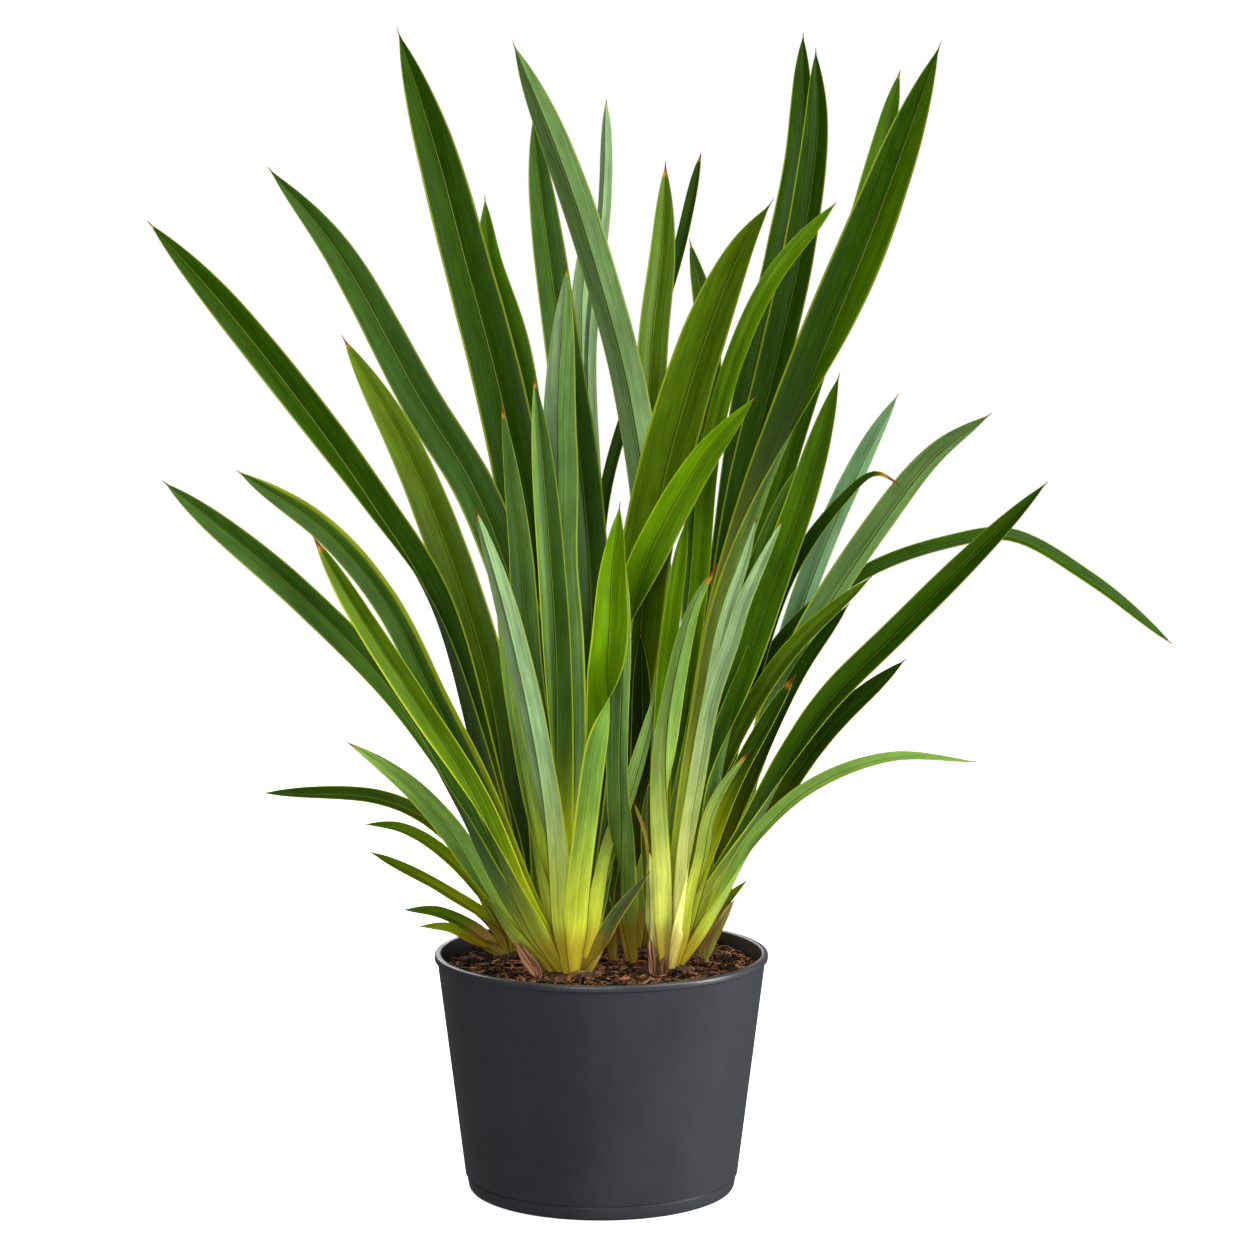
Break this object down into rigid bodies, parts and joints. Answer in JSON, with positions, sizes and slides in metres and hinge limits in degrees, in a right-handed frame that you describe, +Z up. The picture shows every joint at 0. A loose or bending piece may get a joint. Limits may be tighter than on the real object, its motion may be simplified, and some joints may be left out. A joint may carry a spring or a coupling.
{
  "type": "potted new zealand flax",
  "caption": "New Zealand flax in a plain round tapered nursery pot: upright fans of sword-shaped leaves that arch outwards from the soil.",
  "frame": {"origin": "middle of the pot's flat underside, on the surface that it stands on", "axes": "+Z up, -Y towards the viewer of the front view, +X to that viewer's right"},
  "size_m": [0.9127, 0.551, 1.0492],
  "materials": {
    "pot_plastic": "moulded plastic with a fine satin texture",
    "soil": null,
    "leaf": null,
    "leaf_deep": null,
    "dry_leaf": null
  },
  "bodies": {
    "root": {"pot": "pot_plastic", "soil": "soil", "fan_front_left": "leaf", "fan_front_right": "leaf", "fan_middle": "leaf_deep", "fan_left": "leaf_deep", "fan_right": "leaf_deep", "fan_back_left": "leaf_deep", "fan_back_right": "leaf_deep", "dry_sheath_left": "dry_leaf", "dry_leaf_right": "dry_leaf"}
  },
  "joints": []
}
